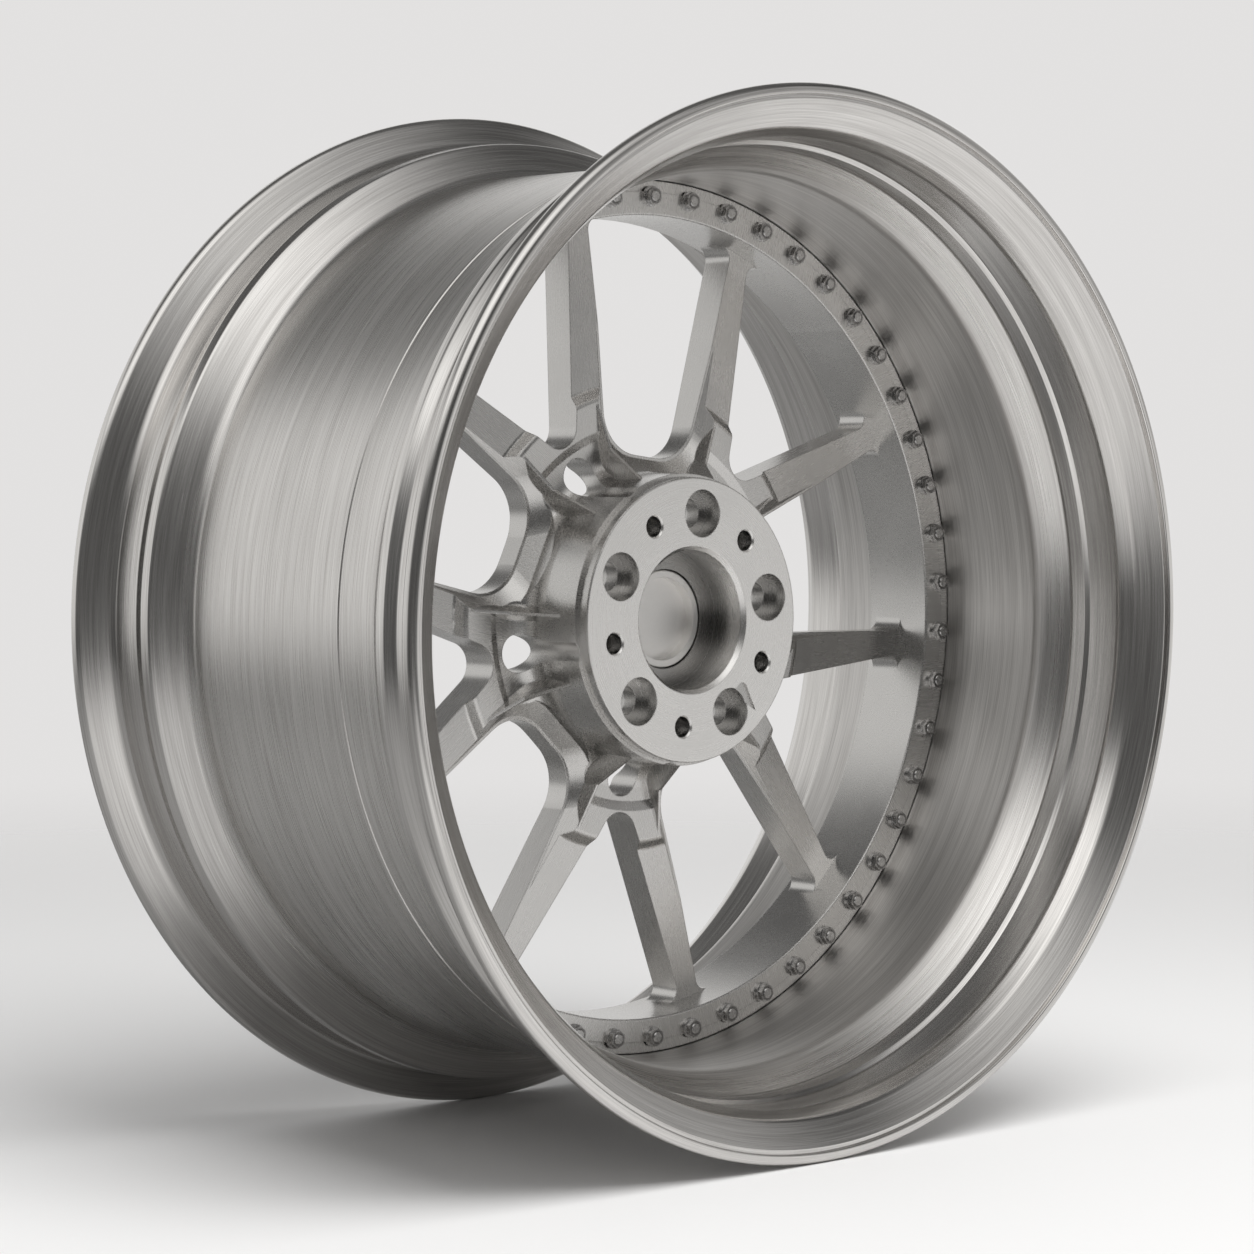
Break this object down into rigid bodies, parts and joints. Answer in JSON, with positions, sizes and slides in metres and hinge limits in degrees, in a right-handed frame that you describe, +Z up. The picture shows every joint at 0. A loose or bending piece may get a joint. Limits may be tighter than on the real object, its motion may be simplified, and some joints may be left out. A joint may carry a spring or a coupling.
{
  "type": "car wheel",
  "caption": "Bare three-piece forged car wheel: Y-shaped spokes, stepped barrel in two halves held by a ring of small bolts, hub pad with centre bore.",
  "frame": {"origin": "wheel centre, midway between the two lips on the axis of rotation", "axes": "the wheel turns about Y; the hub pad faces -Y (inboard), +Y is outboard, +Z is up"},
  "size_m": [0.5426, 0.2746, 0.5426],
  "materials": {
    "brushed_aluminium": "lathe-turned and brushed, bare",
    "milled_aluminium": "milled and blended, bare",
    "fastener_steel": "bright steel",
    "seal_rubber": "black rubber"
  },
  "bodies": {
    "root": {"wheel_centre": "milled_aluminium", "inboard_rim_half": "brushed_aluminium", "outboard_rim_half": "brushed_aluminium", "rim_seal_ring": "seal_rubber", "assembly_bolts": "fastener_steel", "bolt_washers": "fastener_steel", "assembly_nuts": "fastener_steel", "centre_cap": "milled_aluminium", "cap_o_ring": "seal_rubber"}
  },
  "joints": []
}
